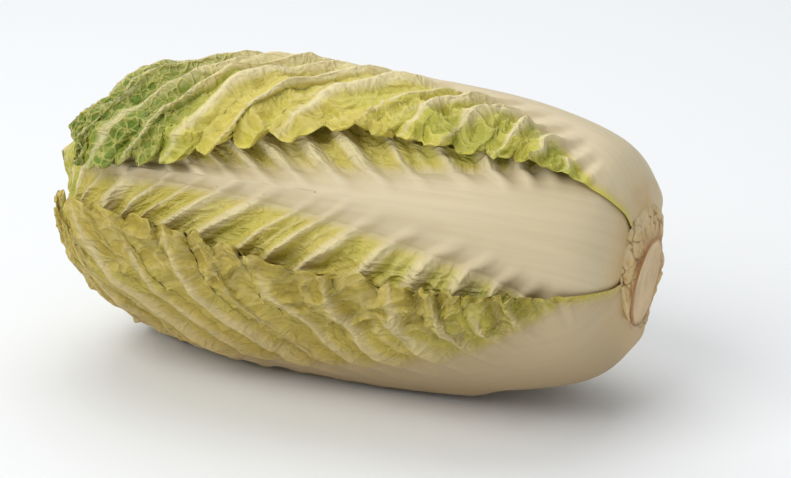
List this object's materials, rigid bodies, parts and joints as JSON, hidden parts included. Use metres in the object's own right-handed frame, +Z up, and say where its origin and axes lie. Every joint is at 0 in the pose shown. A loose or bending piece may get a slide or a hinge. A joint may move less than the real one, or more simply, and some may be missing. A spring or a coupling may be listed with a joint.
{
  "type": "napa cabbage",
  "caption": "Whole head of napa cabbage lying on its side: wide pale midribs, crinkled overlapping leaves with frilled edges, and a cut stem.",
  "frame": {"origin": "on the small flat on the underside that the head rests on, below the axis and near the middle of the length", "axes": "+X along the head from the leaf tips to the cut stem, +Y to the back, +Z up"},
  "size_m": [0.298, 0.1516, 0.1462],
  "materials": {
    "outer_leaf": "satin, cream midrib and crinkled yellow-green blade",
    "inner_leaf": "satin, pale yellow",
    "heart": "satin, yellow",
    "stem": "matte, pinkish cream cut with a brown rim"
  },
  "bodies": {
    "root": {"stem": "stem", "heart": "heart", "inner_leaf_1": "inner_leaf", "inner_leaf_2": "inner_leaf", "inner_leaf_3": "inner_leaf", "inner_leaf_4": "inner_leaf", "leaf_1_underside": "outer_leaf", "leaf_2_top": "outer_leaf", "leaf_3_back_low": "outer_leaf", "leaf_4_front": "outer_leaf", "leaf_5_back_high": "outer_leaf"}
  },
  "joints": []
}
